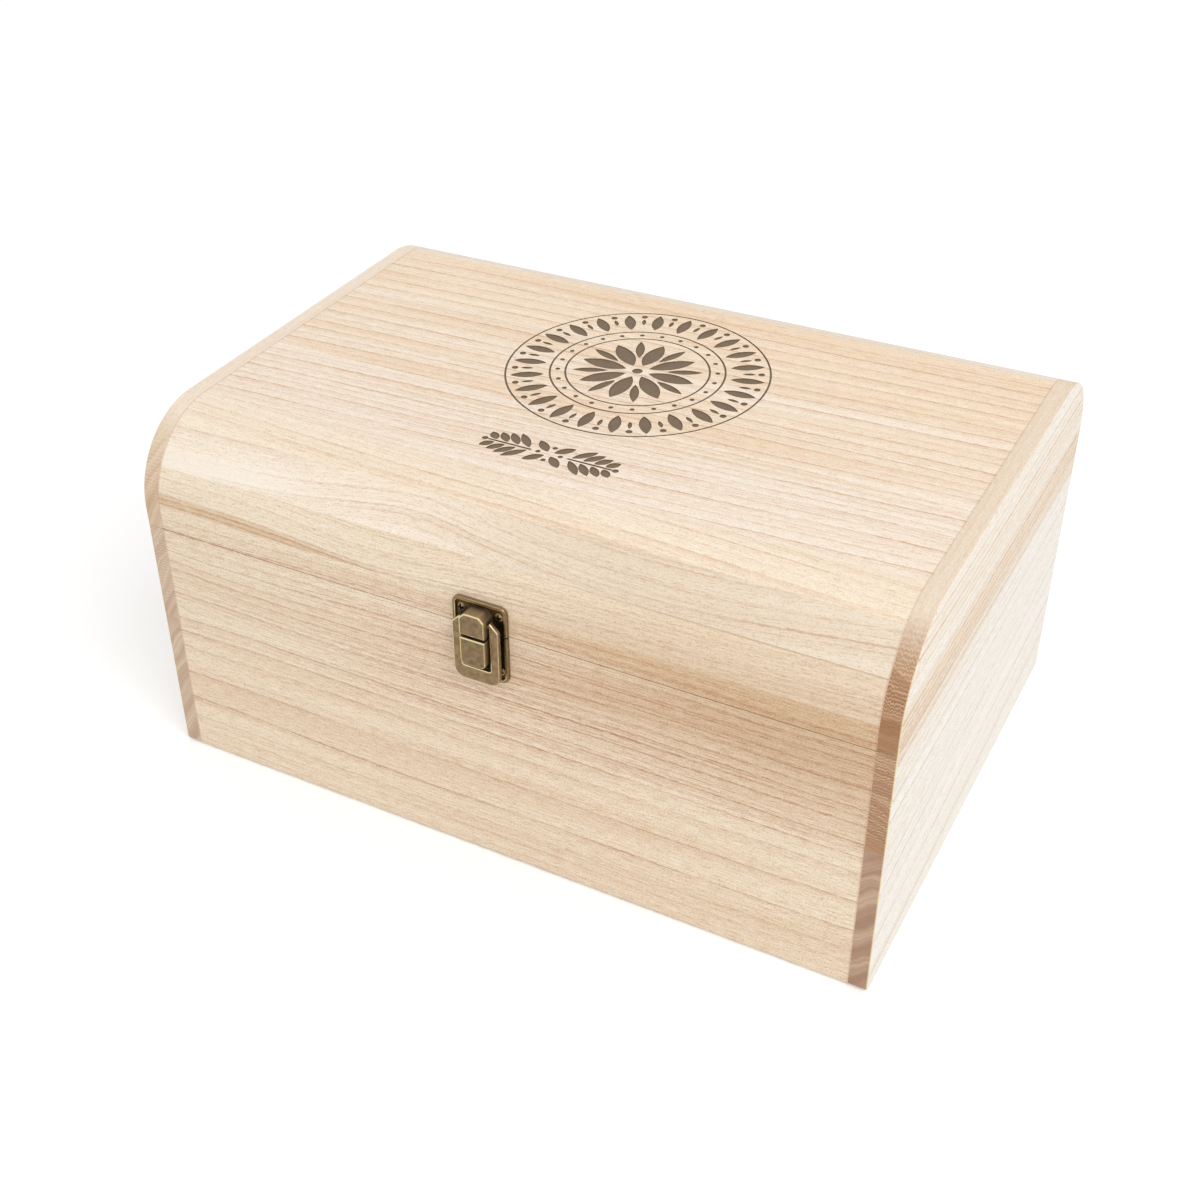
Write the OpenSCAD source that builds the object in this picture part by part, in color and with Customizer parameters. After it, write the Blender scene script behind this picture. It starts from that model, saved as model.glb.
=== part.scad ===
// Hinged wooden keepsake box with a lid rounded at front and back, and a ring clasp.
// Millimetres. X runs along the width, Y from front to back, Z up.
// The origin is on the resting plane, in the middle of the overall width and depth.

/* [Box] */
// Overall width of the box
box_w = 350; // [280:1:420]
// Depth of the box from front face to back face
box_d = 250; // [230:1:300]
// Overall height of the closed box
box_h = 175; // [160:1:220]
// Height of the lid above the saw cut that parts it from the base
lid_h = 49.8; // [48:0.1:60]
// Width of the saw cut between lid and base
saw_cut = 0.4; // [0.2:0.1:1]
// Thickness of the two side panels
side_t = 8.2; // [7:0.1:11]
// Thickness of the front panel, the back panel and the lid's shell
wall_t = 8.2; // [7:0.1:11]
// Radius of the lid's rounded front
front_round = 40; // [34:1:44]
// Radius of the lid's rounded back
back_round = 40; // [34:1:44]
// Radius of the bottom edges at the front and back
foot_round = 3; // [1.5:0.5:4]
// Radius that softens the outer edges of the side panels
edge_ease = 0.8; // [0.4:0.1:1.2]

/* [Boards] */
// Height of the glue joint in the side panels of the base
side_joint = 76; // [50:1:90]
// Angle above level of the joint between the lid's front rail and its lower front stave
front_rail_angle = 3; // [1:0.5:8]
// Angle above level of the joint between the two front staves
front_stave_angle = 30; // [20:1:40]
// Angle above level of the joint between the upper front stave and the front top board
front_top_angle = 60; // [50:1:75]
// Angle above level of the joint between the lid's back rail and its lower back stave
back_rail_angle = 3; // [1:0.5:8]
// Angle above level of the joint between the two back staves
back_stave_angle = 40; // [25:1:50]
// Angle above level of the joint between the upper back stave and the rear top board
back_top_angle = 80; // [60:1:86]
// Distance from the front face to the joint between front and middle top boards
top_joint_front = 96; // [80:1:100]
// Distance from the front face to the joint between middle and rear top boards
top_joint_rear = 166; // [120:1:175]

/* [Bottom panel] */
// Thickness of the bottom panel
bottom_t = 4; // [3:0.5:6]
// Height of the underside of the bottom panel above the resting plane
bottom_lift = 5; // [4:0.5:10]
// Depth of the groove that holds the bottom panel
groove_depth = 4; // [2.5:0.5:5]
// Play left round the bottom panel in its groove
groove_play = 0.2; // [0.1:0.1:0.5]

/* [Engraving] */
// Depth of the engraving in the lid
engrave_depth = 0.4; // [0.2:0.1:0.8]
// Outer radius of the rosette
rosette_r = 60; // [45:1:62]
// Sideways place of the rosette's middle
rosette_x = -2; // [-40:1:40]
// Distance of the rosette's middle behind the middle of the box
rosette_back = 19; // [8:1:22]
// Length of the border ornament in front of the rosette
border_l = 69; // [50:1:80]
// Sideways place of the border ornament's middle
border_x = -2; // [-40:1:40]
// Distance from the front face to the border ornament's middle
border_y = 61; // [58:1:64]

/* [Clasp] */
// Sideways place of the clasp's middle
clasp_x = -0.9; // [-40:0.1:40]
// Width of the two clasp plates
plate_w = 25.5; // [24.5:0.1:32]
// Height of the upper clasp plate
lid_plate_h = 14; // [13.5:0.1:20]
// Height of the lower clasp plate
base_plate_h = 23.7; // [22:0.1:30]
// Sheet thickness of the clasp plates
plate_t = 0.8; // [0.6:0.1:1]
// Height of the pressed rim of the clasp plates above the wood
rim_h = 1.7; // [1.3:0.1:2]
// Width of the pressed rim
rim_w = 1.6; // [1:0.1:2]
// Radius of the outer corners of the clasp plates
plate_round = 3.5; // [2.5:0.1:4]
// Width of the nose and of the keeper
nose_w = 12; // [10:0.1:12.6]
// Height of the nose
nose_h = 10.7; // [9:0.1:11.2]
// Distance that nose and keeper stand out from the wood
nose_proud = 8.2; // [7.2:0.1:9]
// Height of the keeper
keeper_h = 13.6; // [12:0.1:14.4]
// Corner cut of the nose and corner radius of the keeper
nose_corner = 2.6; // [1.5:0.1:3]
// Half of the gap between the nose and the keeper
nose_gap = 0.7; // [0.5:0.1:1.2]
// Play between the ring's arms and the keeper's sides
ring_side_play = 0.7; // [0.6:0.1:1.6]
// Play between the ring's bottom bar and the underside of the keeper
ring_under_play = 2.4; // [1.6:0.1:3]
// Width of the ring's two arms
ring_arm = 4.2; // [3.4:0.1:4.4]
// Height of the ring's arms above its top bar
ring_shoulder = 1.4; // [0:0.1:1.6]
// Radius of the ring's two lower corners
ring_round = 4.9; // [3:0.1:5.4]
// Height of the ring's bottom bar, the finger tab
ring_tab = 6.7; // [4:0.1:7.5]
// Thickness of the ring's sheet
ring_t = 2; // [1.4:0.1:2.2]
// Diameter of the ring's round top bar
ring_bar_d = 2.4; // [2:0.1:2.8]
// Height of the ring's pivot above the saw cut
pivot_up = 5.7; // [5:0.1:6.2]
// Distance from the wood to the ring's pivot
pivot_out = 4.6; // [4.2:0.1:5]

/* [Hinges] */
// Distance from the box's side to each hinge's middle
hinge_inset = 67; // [40:1:90]
// Width of a hinge
hinge_w = 30; // [26:0.5:40]
// Height of each hinge leaf from the pin
leaf_h = 10; // [9.5:0.1:11]
// Sheet thickness of the hinge leaves
leaf_t = 1.2; // [1:0.1:1.4]
// Outer diameter of the hinge knuckles
knuckle_d = 5; // [4.6:0.1:6]
// Diameter of the hinge pin
pin_d = 2.2; // [1.8:0.1:2.4]
// Angle through which the hinge opens until its stops meet
open_angle = 105; // [95:1:110]
// Distance from the hinge pin to the stop tabs, along the leaf
stop_reach = 5; // [4.4:0.1:5.6]
// Width of the stop tabs
stop_w = 7; // [5:0.5:9]

/* [Screws] */
// Diameter of the screw heads
screw_head_d = 4.1; // [3.6:0.1:4.4]
// Height of the screw heads' dome
screw_head_h = 0.9; // [0.7:0.1:1.1]
// Diameter of the screw shanks
screw_d = 2.2; // [1.8:0.1:2.4]
// Length of the screw shanks in the wood
screw_l = 6.5; // [5:0.1:6.6]
// Distance of the hinge screws from the hinge leaf's end and sides
hinge_screw_inset = 4.2; // [3.2:0.1:4.4]
// Distance of the clasp screws from the clasp plates' outer ends
clasp_screw_end = 5.2; // [4.4:0.1:5.6]
// Play between the clasp screws' heads and the plates' rims
head_play = 0.25; // [0.1:0.05:0.4]

/* [Fits] */
// Radial play of turning pins and bars in their holes
turn_fit = 0.05; // [0.03:0.01:0.1]
// Radial play of fixed shanks and pins in their holes
fixed_fit = 0.02; // [0.01:0.01:0.05]
// Play between parts that slide past each other
side_fit = 0.3; // [0.2:0.05:0.5]

/* [Hidden] */
$fn = 64;
cut = 1;
inner_w = box_w - 2 * side_t;
lid_line = box_h - lid_h;
base_top = lid_line - saw_cut / 2;
lid_bottom = lid_line + saw_cut / 2;
front_middle = [front_round, box_h - front_round];
back_middle = [box_d - back_round, box_h - back_round];
knuckle_r = knuckle_d / 2;
pin_y = box_d + knuckle_r + fixed_fit;
stop_half = (180 - open_angle) / 2;
stop_tip = stop_reach * tan(stop_half) - side_fit / 2;
leaf_back = -knuckle_r - fixed_fit;
back_proud = stop_tip - leaf_back;
overall_d = box_d + nose_proud + back_proud;
frame_y = nose_proud - overall_d / 2;
plate_end = saw_cut / 2 + side_fit / 2;
ring_inner_w = nose_w + 2 * ring_side_play;
ring_w = ring_inner_w + 2 * ring_arm;
ring_drop = pivot_up + nose_gap + keeper_h + ring_under_play + ring_tab;
hinge_x = box_w / 2 - hinge_inset;
clasp_screw_x = plate_w / 2 - rim_w - head_play - screw_head_d / 2;
knuckle_side_w = (hinge_w - stop_w) / 2;
recess_w = 0.55;
recess_l = 2.5;
recess_depth = 0.5;

pale = "#ead3b4";
cream = "#f1e2cb";
orange = "#e6c79c";
bronze = "#7d6c45";

// Moves a piece drawn from the front face into the part's own frame
module in_frame() {
    translate([0, frame_y, 0]) children();
}

// Stands a shape drawn in front-to-back and height upright, extruded along X
module upright() {
    rotate([90, 0, 90]) children();
}

// Waste outside a rounded corner of radius r, whose tip is at the origin
module corner_waste(r) {
    difference() {
        translate([-cut, -cut]) square(r + cut);
        translate([r, r]) circle(r);
    }
}

// Outline of the closed box seen from its side
module side_outline() {
    difference() {
        square([box_d, box_h]);
        translate([0, box_h]) mirror([0, 1]) corner_waste(front_round);
        translate([box_d, box_h]) rotate(180) corner_waste(back_round);
        corner_waste(foot_round);
        translate([box_d, 0]) mirror([1, 0]) corner_waste(foot_round);
    }
}

// Outline of the lid's shell seen from its side, as thick as the walls
module shell_outline() {
    difference() {
        side_outline();
        translate([wall_t, -cut]) difference() {
            square([box_d - 2 * wall_t, box_h - wall_t + cut]);
            translate([0, box_h - wall_t + cut]) mirror([0, 1])
                corner_waste(front_round - wall_t);
            translate([box_d - 2 * wall_t, box_h - wall_t + cut]) rotate(180)
                corner_waste(back_round - wall_t);
        }
    }
}

// Waste along one straight outer edge of a side panel, on the panel's right face
module edge_waste(length) {
    translate([0, 0, -cut])
        linear_extrude(length + 2 * cut) rotate(180) corner_waste(edge_ease);
}

// Waste round one rounded outer corner of radius r
module corner_edge_waste(r) {
    rotate_extrude(angle = 90) translate([r, 0]) rotate(180) corner_waste(edge_ease);
}

// Waste of every outer edge of the right side panel, in the upright frame
module side_edge_waste() {
    translate([front_round, box_h, box_w / 2]) rotate([90, 0, 90])
        edge_waste(box_d - front_round - back_round);
    translate([0, box_h - front_round, box_w / 2]) rotate([90, 0, 0]) mirror([1, 0, 0])
        edge_waste(box_h - front_round - foot_round);
    translate([box_d, box_h - back_round, box_w / 2]) rotate([90, 0, 0])
        edge_waste(box_h - back_round - foot_round);
    translate([foot_round, 0, box_w / 2]) rotate([90, 0, 90]) mirror([1, 0, 0])
        edge_waste(box_d - 2 * foot_round);
    translate([front_round, box_h - front_round, box_w / 2]) rotate(90)
        corner_edge_waste(front_round);
    translate([box_d - back_round, box_h - back_round, box_w / 2])
        corner_edge_waste(back_round);
    translate([box_d - foot_round, foot_round, box_w / 2]) rotate(-90)
        corner_edge_waste(foot_round);
    translate([foot_round, foot_round, box_w / 2]) rotate(180)
        corner_edge_waste(foot_round);
}

// The band of the closed box between two heights
module height_band(low, high) {
    translate([-box_w, -box_d, low]) cube([2 * box_w, 3 * box_d, high - low]);
}

// Right side panel between two heights, with its eased outer edges
module right_side(low, high) {
    intersection() {
        upright() difference() {
            translate([0, 0, box_w / 2 - side_t]) linear_extrude(side_t) side_outline();
            side_edge_waste();
        }
        height_band(low, high);
    }
}

// Board between the side panels, from one depth to another and between two heights
module inner_board(front, back, low, high) {
    intersection() {
        upright() translate([0, 0, -inner_w / 2]) linear_extrude(inner_w) side_outline();
        translate([-inner_w, front, low]) cube([2 * inner_w, back - front, high - low]);
    }
}

// Lid board between the side panels: the shell inside an outline given from its side
module lid_board(points) {
    upright() translate([0, 0, -inner_w / 2]) linear_extrude(inner_w) intersection() {
        shell_outline();
        polygon(points);
    }
}

// End of the ray that leaves the middle of the front round at an angle above level
function front_ray(angle) = front_middle + 2 * front_round * [-cos(angle), sin(angle)];

// End of the ray that leaves the middle of the back round at an angle above level
function back_ray(angle) = back_middle + 2 * back_round * [cos(angle), sin(angle)];

// Room that the bottom panel's groove takes out of the walls
module bottom_groove() {
    translate([-inner_w / 2 - groove_depth, wall_t - groove_depth, bottom_lift])
        cube([inner_w + 2 * groove_depth,
              box_d - 2 * wall_t + 2 * groove_depth,
              bottom_t + groove_play]);
}

// Pointed leaf from the origin along X
module leaf(length, width) {
    r = (length * length + width * width) / (4 * width);
    intersection() {
        translate([length / 2, r - width / 2]) circle(r);
        translate([length / 2, width / 2 - r]) circle(r);
    }
}

// Copies children round the origin, the first one turned by start
module around(count, start) {
    for (i = [0 : count - 1]) rotate(start + i * 360 / count) children();
}

// Flat ring of a middle radius and a line width
module line_ring(r, line) {
    difference() {
        circle(r + line / 2);
        circle(r - line / 2);
    }
}

// Rosette of petals, dots and rings; its proportions are those of a radius of 60
module rosette() {
    s = rosette_r / 60;
    line = 0.9 * s;
    petals = 8;
    rays = 24;
    circle(2.4 * s);
    around(petals, 0) translate([5.5 * s, 0]) leaf(22 * s, 8 * s);
    around(petals, 180 / petals) translate([13 * s, 0]) leaf(16.5 * s, 4.2 * s);
    line_ring(32.5 * s, line);
    around(rays, 180 / rays) translate([36 * s, 0]) circle(1.1 * s);
    line_ring(39.5 * s, line);
    around(rays, 0) translate([42 * s, 0]) leaf(15.5 * s, 5.4 * s);
    around(rays, 180 / rays) translate([55.5 * s, 0]) circle(1.5 * s);
    around(rays, 180 / rays) translate([47 * s, 0]) leaf(6 * s, 2 * s);
    line_ring(rosette_r - line / 2, line);
}

// Border ornament of leaf pairs either side of a small flower, in proportions for a length of 73
module border() {
    s = border_l / 73;
    around(4, 45) translate([2.2 * s, 0]) leaf(10.5 * s, 4.6 * s);
    around(4, 0) translate([5.6 * s, 0]) circle(1.2 * s);
    for (side = [0, 180]) rotate(side) {
        translate([9 * s, -0.6 * s]) square([22 * s, 1.2 * s]);
        for (i = [0 : 3], up = [-1, 1])
            translate([(10.5 + 5.6 * i) * s, up * 1.1 * s]) rotate(up * 48)
                leaf((13 - 1.9 * i) * s, 4.2 * s);
        translate([32.6 * s, 0]) circle(1.5 * s);
    }
}

// Room that the engraving takes out of the lid's top
module engraving() {
    translate([0, 0, box_h - engrave_depth]) linear_extrude(engrave_depth + cut) {
        translate([rosette_x, box_d / 2 + rosette_back]) rosette();
        translate([border_x, border_y]) border();
    }
}

// Places one piece at each screw of a hinge leaf; up is 1 for the lid and -1 for the base
module at_hinge_screws(up) {
    for (side = [-1, 1], end = [-1, 1])
        translate([side * hinge_x + end * (hinge_w / 2 - hinge_screw_inset),
                   box_d,
                   lid_line + up * (leaf_h - hinge_screw_inset)])
            rotate([-90, 0, 0]) children();
}

// Places one piece at each screw of a clasp plate; up is 1 for the lid and -1 for the base
module at_clasp_screws(up) {
    height = up > 0 ? lid_plate_h : base_plate_h;
    for (end = [-1, 1])
        translate([clasp_x + end * clasp_screw_x,
                   0,
                   lid_line + up * (height - clasp_screw_end)])
            rotate([90, 0, 0]) children();
}

// Pilot hole in the wood, whose mouth is at the origin
module pilot_hole() {
    translate([0, 0, -screw_l - side_fit])
        cylinder(h = screw_l + side_fit + cut, r = screw_d / 2 + fixed_fit);
}

// Dome-headed cross screw through a sheet, whose seat on the wood is at the origin
module screw(sheet) {
    dome_r = (screw_head_d * screw_head_d / 4 + screw_head_h * screw_head_h)
        / (2 * screw_head_h);
    difference() {
        union() {
            translate([0, 0, -screw_l])
                cylinder(h = screw_l + sheet + fixed_fit, r = screw_d / 2);
            intersection() {
                translate([0, 0, sheet + screw_head_h - dome_r]) sphere(dome_r);
                translate([0, 0, sheet])
                    cylinder(h = screw_head_h + cut, r = screw_head_d / 2);
            }
        }
        for (turn = [20, 110])
            translate([0, 0, sheet + screw_head_h - recess_depth]) rotate(turn)
                translate([-recess_l / 2, -recess_w / 2, 0])
                    cube([recess_l, recess_w, recess_depth + cut]);
    }
}

// Hole for a screw through a sheet of the given thickness
module sheet_hole(sheet) {
    translate([0, 0, -cut])
        cylinder(h = sheet + 2 * cut, r = screw_d / 2 + fixed_fit);
}

// The base's boards

module base_front_panel() {
    color(pale) in_frame() difference() {
        inner_board(0, wall_t, 0, base_top);
        bottom_groove();
        at_clasp_screws(-1) pilot_hole();
    }
}

module base_back_panel() {
    color(pale) in_frame() difference() {
        inner_board(box_d - wall_t, box_d, 0, base_top);
        bottom_groove();
        at_hinge_screws(-1) pilot_hole();
    }
}

module base_bottom_panel() {
    reach = groove_depth - groove_play;
    color(cream) in_frame()
        translate([-inner_w / 2 - reach, wall_t - reach, bottom_lift])
            cube([inner_w + 2 * reach, box_d - 2 * wall_t + 2 * reach, bottom_t]);
}

module base_right_lower_board() {
    color(cream) in_frame() difference() {
        right_side(0, side_joint);
        bottom_groove();
    }
}

module base_right_upper_board() {
    color(cream) in_frame() right_side(side_joint, base_top);
}

module base_left_lower_board() {
    mirror([1, 0, 0]) base_right_lower_board();
}

module base_left_upper_board() {
    mirror([1, 0, 0]) base_right_upper_board();
}

// The lid's boards

module lid_front_rail() {
    color(pale) in_frame() difference() {
        lid_board([front_middle,
                   front_ray(front_rail_angle),
                   [-box_d, lid_bottom],
                   [front_round, lid_bottom]]);
        at_clasp_screws(1) pilot_hole();
    }
}

module lid_front_lower_stave() {
    color(cream) in_frame() difference() {
        lid_board([front_middle, front_ray(front_stave_angle), front_ray(front_rail_angle)]);
        at_clasp_screws(1) pilot_hole();
    }
}

module lid_front_upper_stave() {
    color(cream) in_frame()
        lid_board([front_middle, front_ray(front_top_angle), front_ray(front_stave_angle)]);
}

// Lid board with the engraving cut into it
module top_board(points) {
    in_frame() difference() {
        lid_board(points);
        engraving();
    }
}

module lid_top_front_board() {
    color(cream) top_board([front_middle,
                            front_ray(front_top_angle),
                            [front_round, 2 * box_h],
                            [top_joint_front, 2 * box_h],
                            [top_joint_front, front_middle[1]]]);
}

module lid_top_middle_board() {
    color(pale) top_board([[top_joint_front, lid_bottom],
                           [top_joint_front, 2 * box_h],
                           [top_joint_rear, 2 * box_h],
                           [top_joint_rear, lid_bottom]]);
}

module lid_top_rear_board() {
    color(orange) top_board([back_middle,
                             back_ray(back_top_angle),
                             [back_middle[0], 2 * box_h],
                             [top_joint_rear, 2 * box_h],
                             [top_joint_rear, back_middle[1]]]);
}

module lid_back_upper_stave() {
    color(cream) in_frame()
        lid_board([back_middle, back_ray(back_top_angle), back_ray(back_stave_angle)]);
}

module lid_back_lower_stave() {
    color(cream) in_frame() difference() {
        lid_board([back_middle, back_ray(back_stave_angle), back_ray(back_rail_angle)]);
        at_hinge_screws(1) pilot_hole();
    }
}

module lid_back_rail() {
    color(pale) in_frame() difference() {
        lid_board([back_middle,
                   back_ray(back_rail_angle),
                   [2 * box_d, lid_bottom],
                   [back_middle[0], lid_bottom]]);
        at_hinge_screws(1) pilot_hole();
    }
}

module lid_right_side() {
    color(cream) in_frame() right_side(lid_bottom, box_h);
}

module lid_left_side() {
    mirror([1, 0, 0]) lid_right_side();
}

// The clasp, drawn from the wood outwards with the saw cut at height zero

module on_clasp() {
    in_frame() translate([clasp_x, 0, lid_line]) children();
}

// Face of a clasp plate above the saw cut, rounded at its two upper corners
module plate_face(width, height, r) {
    difference() {
        translate([-width / 2, plate_end]) square([width, height - plate_end]);
        for (side = [0, 1]) mirror([side, 0])
            translate([-width / 2, height]) mirror([0, 1]) corner_waste(r);
    }
}

// Pressed plate with a raised rim on three sides, open at the saw cut
module pressed_plate(height) {
    rotate([90, 0, 0]) difference() {
        linear_extrude(rim_h) plate_face(plate_w, height, plate_round);
        translate([0, -cut, plate_t]) linear_extrude(rim_h)
            plate_face(plate_w - 2 * rim_w, height - rim_w + cut, plate_round - rim_w);
    }
}

module clasp_lid_plate() {
    color(bronze) difference() {
        on_clasp() pressed_plate(lid_plate_h);
        in_frame() at_clasp_screws(1) sheet_hole(plate_t);
    }
}

module clasp_base_plate() {
    color(bronze) difference() {
        on_clasp() mirror([0, 0, 1]) pressed_plate(base_plate_h);
        in_frame() at_clasp_screws(-1) sheet_hole(plate_t);
    }
}

// Face of the nose, with its two upper corners cut off
module nose_face() {
    polygon([[-nose_w / 2, nose_gap],
             [nose_w / 2, nose_gap],
             [nose_w / 2, nose_gap + nose_h - nose_corner],
             [nose_w / 2 - nose_corner, nose_gap + nose_h],
             [nose_corner - nose_w / 2, nose_gap + nose_h],
             [-nose_w / 2, nose_gap + nose_h - nose_corner]]);
}

module clasp_nose() {
    color(bronze) on_clasp() difference() {
        translate([0, -plate_t, 0]) rotate([90, 0, 0])
            linear_extrude(nose_proud - plate_t) nose_face();
        translate([-nose_w, -pivot_out, pivot_up]) rotate([0, 90, 0])
            cylinder(h = 2 * nose_w, r = ring_bar_d / 2 + turn_fit);
    }
}

// Face of the keeper, with its two lower corners rounded
module keeper_face() {
    difference() {
        translate([-nose_w / 2, -nose_gap - keeper_h]) square([nose_w, keeper_h]);
        for (side = [0, 1]) mirror([side, 0])
            translate([-nose_w / 2, -nose_gap - keeper_h]) corner_waste(nose_corner);
    }
}

module clasp_keeper() {
    color(bronze) on_clasp() translate([0, -plate_t, 0]) rotate([90, 0, 0])
        linear_extrude(nose_proud - plate_t) keeper_face();
}

// Outline of the ring seen from the front, with the pivot at the origin
module ring_face() {
    top = ring_bar_d / 2 + ring_shoulder;
    difference() {
        polygon([[-ring_w / 2 + ring_arm, top],
                 [ring_w / 2 - ring_arm, top],
                 [ring_w / 2, top - ring_arm],
                 [ring_w / 2, -ring_drop],
                 [-ring_w / 2, -ring_drop],
                 [-ring_w / 2, top - ring_arm]]);
        for (side = [0, 1]) mirror([side, 0])
            translate([-ring_w / 2, -ring_drop]) corner_waste(ring_round);
        translate([-ring_inner_w / 2, ring_tab - ring_drop])
            square([ring_inner_w, ring_drop - ring_tab + top + cut]);
    }
}

module clasp_ring() {
    color(bronze) on_clasp() translate([0, -pivot_out, pivot_up]) {
        translate([0, ring_t / 2, 0]) rotate([90, 0, 0]) linear_extrude(ring_t) ring_face();
        translate([-(ring_inner_w + ring_arm) / 2, 0, 0]) rotate([0, 90, 0])
            cylinder(h = ring_inner_w + ring_arm, r = ring_bar_d / 2);
    }
}

module clasp_lid_screws() {
    color(bronze) in_frame() at_clasp_screws(1) screw(plate_t);
}

module clasp_base_screws() {
    color(bronze) in_frame() at_clasp_screws(-1) screw(plate_t);
}

// The hinges, drawn with the pin's middle at the origin and the leaf along up

// Flat sheet of a leaf, seen along the pin
module leaf_sheet(up) {
    translate([leaf_back, up > 0 ? 0 : -leaf_h, 0]) cube([leaf_t, leaf_h, hinge_w]);
}

// Tab on a leaf that meets its twin on the other leaf when the lid is open
module stop_tab(up) {
    translate([leaf_back, up > 0 ? stop_reach : -stop_reach - leaf_t, knuckle_side_w])
        cube([stop_tip - leaf_back, leaf_t, stop_w]);
}

// Lengthwise slices of the barrel that belong to one leaf, each shortened by play at both ends
module knuckles(up, r, play) {
    middle = [knuckle_side_w, knuckle_side_w + stop_w];
    spans = up > 0 ? [middle] : [[0, middle[0]], [middle[1], hinge_w]];
    for (span = spans)
        translate([0, 0, span[0] + play]) cylinder(h = span[1] - span[0] - 2 * play, r = r);
}

// One hinge leaf with its knuckles; up is 1 for the lid's leaf and -1 for the base's
module hinge_leaf(up) {
    difference() {
        union() {
            leaf_sheet(up);
            stop_tab(up);
            knuckles(up, knuckle_r, side_fit / 2);
        }
        knuckles(-up, knuckle_r + side_fit, -side_fit / 2);
        translate([0, 0, -cut])
            cylinder(h = hinge_w + 2 * cut,
                     r = pin_d / 2 + (up > 0 ? turn_fit : fixed_fit));
    }
}

// Places a hinge piece on the left (-1) or right (1) hinge
module on_hinge(side) {
    in_frame() translate([side * hinge_x - hinge_w / 2, pin_y, lid_line])
        rotate([90, 0, 90]) children();
}

module placed_leaf(side, up) {
    color(bronze) difference() {
        on_hinge(side) hinge_leaf(up);
        in_frame() at_hinge_screws(up) sheet_hole(leaf_t);
    }
}

module left_hinge_base_leaf() {
    placed_leaf(-1, -1);
}

module left_hinge_lid_leaf() {
    placed_leaf(-1, 1);
}

module right_hinge_base_leaf() {
    placed_leaf(1, -1);
}

module right_hinge_lid_leaf() {
    placed_leaf(1, 1);
}

module left_hinge_pin() {
    color(bronze) on_hinge(-1) cylinder(h = hinge_w, r = pin_d / 2);
}

module right_hinge_pin() {
    color(bronze) on_hinge(1) cylinder(h = hinge_w, r = pin_d / 2);
}

module hinge_base_screws() {
    color(bronze) in_frame() at_hinge_screws(-1) screw(leaf_t);
}

module hinge_lid_screws() {
    color(bronze) in_frame() at_hinge_screws(1) screw(leaf_t);
}

base_front_panel();
base_back_panel();
base_bottom_panel();
base_left_lower_board();
base_left_upper_board();
base_right_lower_board();
base_right_upper_board();
lid_front_rail();
lid_front_lower_stave();
lid_front_upper_stave();
lid_top_front_board();
lid_top_middle_board();
lid_top_rear_board();
lid_back_upper_stave();
lid_back_lower_stave();
lid_back_rail();
lid_left_side();
lid_right_side();
clasp_lid_plate();
clasp_nose();
clasp_ring();
clasp_base_plate();
clasp_keeper();
clasp_lid_screws();
clasp_base_screws();
left_hinge_base_leaf();
left_hinge_lid_leaf();
left_hinge_pin();
right_hinge_base_leaf();
right_hinge_lid_leaf();
right_hinge_pin();
hinge_base_screws();
hinge_lid_screws();
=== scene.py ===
"""A wooden keepsake box with a hinged lid and a ring clasp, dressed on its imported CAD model.

Everything is in metres in the model's own frame: X along the width, Y from front to back,
Z up, and the resting plane at zero. Materials count in millimetres, wood from the middle
of the front's lower edge and metal from its own fitting.
"""
import math

import bmesh
import bpy
import numpy as np
from mathutils import Matrix, Vector


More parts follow.
